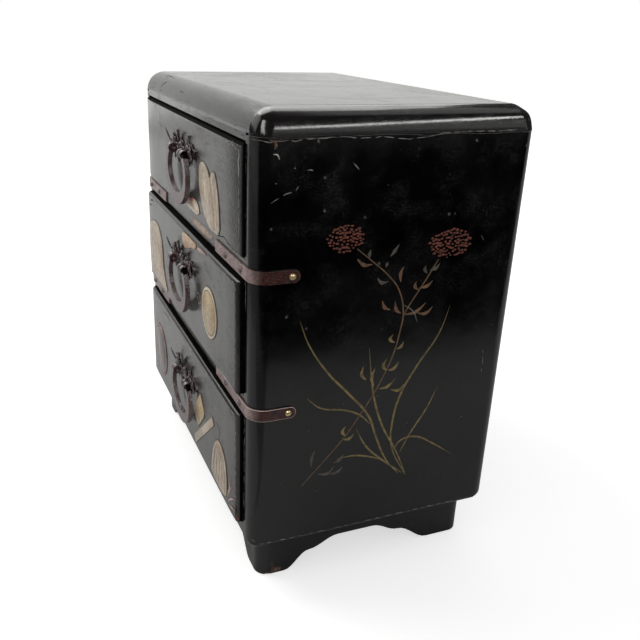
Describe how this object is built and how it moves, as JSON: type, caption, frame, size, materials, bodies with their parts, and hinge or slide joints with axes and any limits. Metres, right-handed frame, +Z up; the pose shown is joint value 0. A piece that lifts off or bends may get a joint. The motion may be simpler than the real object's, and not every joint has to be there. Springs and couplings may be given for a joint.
{
  "type": "jewelry_chest",
  "caption": "Small worn black lacquer jewelry chest: drawers with swinging ring pulls and carved overlays, copper corner straps, rounded case on a scalloped plinth.",
  "frame": {"origin": "on the floor under the middle of the whole outline", "axes": "+Z up, the drawers open along -Y, +X to the right as seen from the front"},
  "size_m": [0.226, 0.15, 0.241],
  "materials": {
    "black_lacquer": "worn glossy black lacquer",
    "bare_wood": "planed, unfinished",
    "copper_strap": "dark patinated copper, bright at the rims",
    "pull_bronze": "dark brown patina, rubbed bright",
    "pin_brass": "worn, polished by touch",
    "carved_stone": "carved soapstone and shell, tinted and worn",
    "lining_cloth": "short pile cloth"
  },
  "bodies": {
    "case": {"case_top": "black_lacquer", "case_side_left": "black_lacquer", "case_side_right": "black_lacquer", "case_bottom": "black_lacquer", "case_back": "black_lacquer", "rail_upper": "black_lacquer", "rail_lower": "black_lacquer", "runner_upper_left": "bare_wood", "runner_upper_right": "bare_wood", "runner_lower_left": "bare_wood", "runner_lower_right": "bare_wood", "plinth_front": "black_lacquer", "plinth_back": "black_lacquer", "plinth_left": "black_lacquer", "plinth_right": "black_lacquer", "plinth_blocks": "bare_wood", "strap_upper_left": "copper_strap", "strap_upper_right": "copper_strap", "strap_lower_left": "copper_strap", "strap_lower_right": "copper_strap", "strap_pins": "pin_brass"},
    "upper_drawer": {"upper_drawer_front": "black_lacquer", "upper_drawer_side_left": "bare_wood", "upper_drawer_side_right": "bare_wood", "upper_drawer_back": "bare_wood", "upper_drawer_floor": "bare_wood", "upper_drawer_lining": "lining_cloth", "upper_drawer_overlays": "carved_stone", "upper_pull_plate": "pull_bronze", "upper_pull_posts": "pull_bronze"},
    "upper_pull": {"upper_pull_bail": "pull_bronze"},
    "middle_drawer": {"middle_drawer_front": "black_lacquer", "middle_drawer_side_left": "bare_wood", "middle_drawer_side_right": "bare_wood", "middle_drawer_back": "bare_wood", "middle_drawer_floor": "bare_wood", "middle_drawer_lining": "lining_cloth", "middle_drawer_overlays": "carved_stone", "middle_pull_plate": "pull_bronze", "middle_pull_posts": "pull_bronze"},
    "middle_pull": {"middle_pull_bail": "pull_bronze"},
    "lower_drawer": {"lower_drawer_front": "black_lacquer", "lower_drawer_side_left": "bare_wood", "lower_drawer_side_right": "bare_wood", "lower_drawer_back": "bare_wood", "lower_drawer_floor": "bare_wood", "lower_drawer_lining": "lining_cloth", "lower_drawer_overlays": "carved_stone", "lower_pull_plate": "pull_bronze", "lower_pull_posts": "pull_bronze"},
    "lower_pull": {"lower_pull_bail": "pull_bronze"}
  },
  "joints": [
    {"name": "upper_drawer_slide", "type": "slide", "parent": "case", "child": "upper_drawer", "axis": [0, -1, 0], "range_m": [0, 0.095]},
    {"name": "upper_pull_swing", "type": "hinge", "parent": "upper_drawer", "child": "upper_pull", "pos_m": [0, -0.07095, 0.20705], "axis": [-1, 0, 0], "range_deg": [0, 170]},
    {"name": "middle_drawer_slide", "type": "slide", "parent": "case", "child": "middle_drawer", "axis": [0, -1, 0], "range_m": [-0.0014, 0.0936]},
    {"name": "middle_pull_swing", "type": "hinge", "parent": "middle_drawer", "child": "middle_pull", "pos_m": [0, -0.07235, 0.14435], "axis": [-1, 0, 0], "range_deg": [0, 170]},
    {"name": "lower_drawer_slide", "type": "slide", "parent": "case", "child": "lower_drawer", "axis": [0, -1, 0], "range_m": [-0.0011, 0.0939]},
    {"name": "lower_pull_swing", "type": "hinge", "parent": "lower_drawer", "child": "lower_pull", "pos_m": [0, -0.07205, 0.07285], "axis": [-1, 0, 0], "range_deg": [0, 170]}
  ]
}
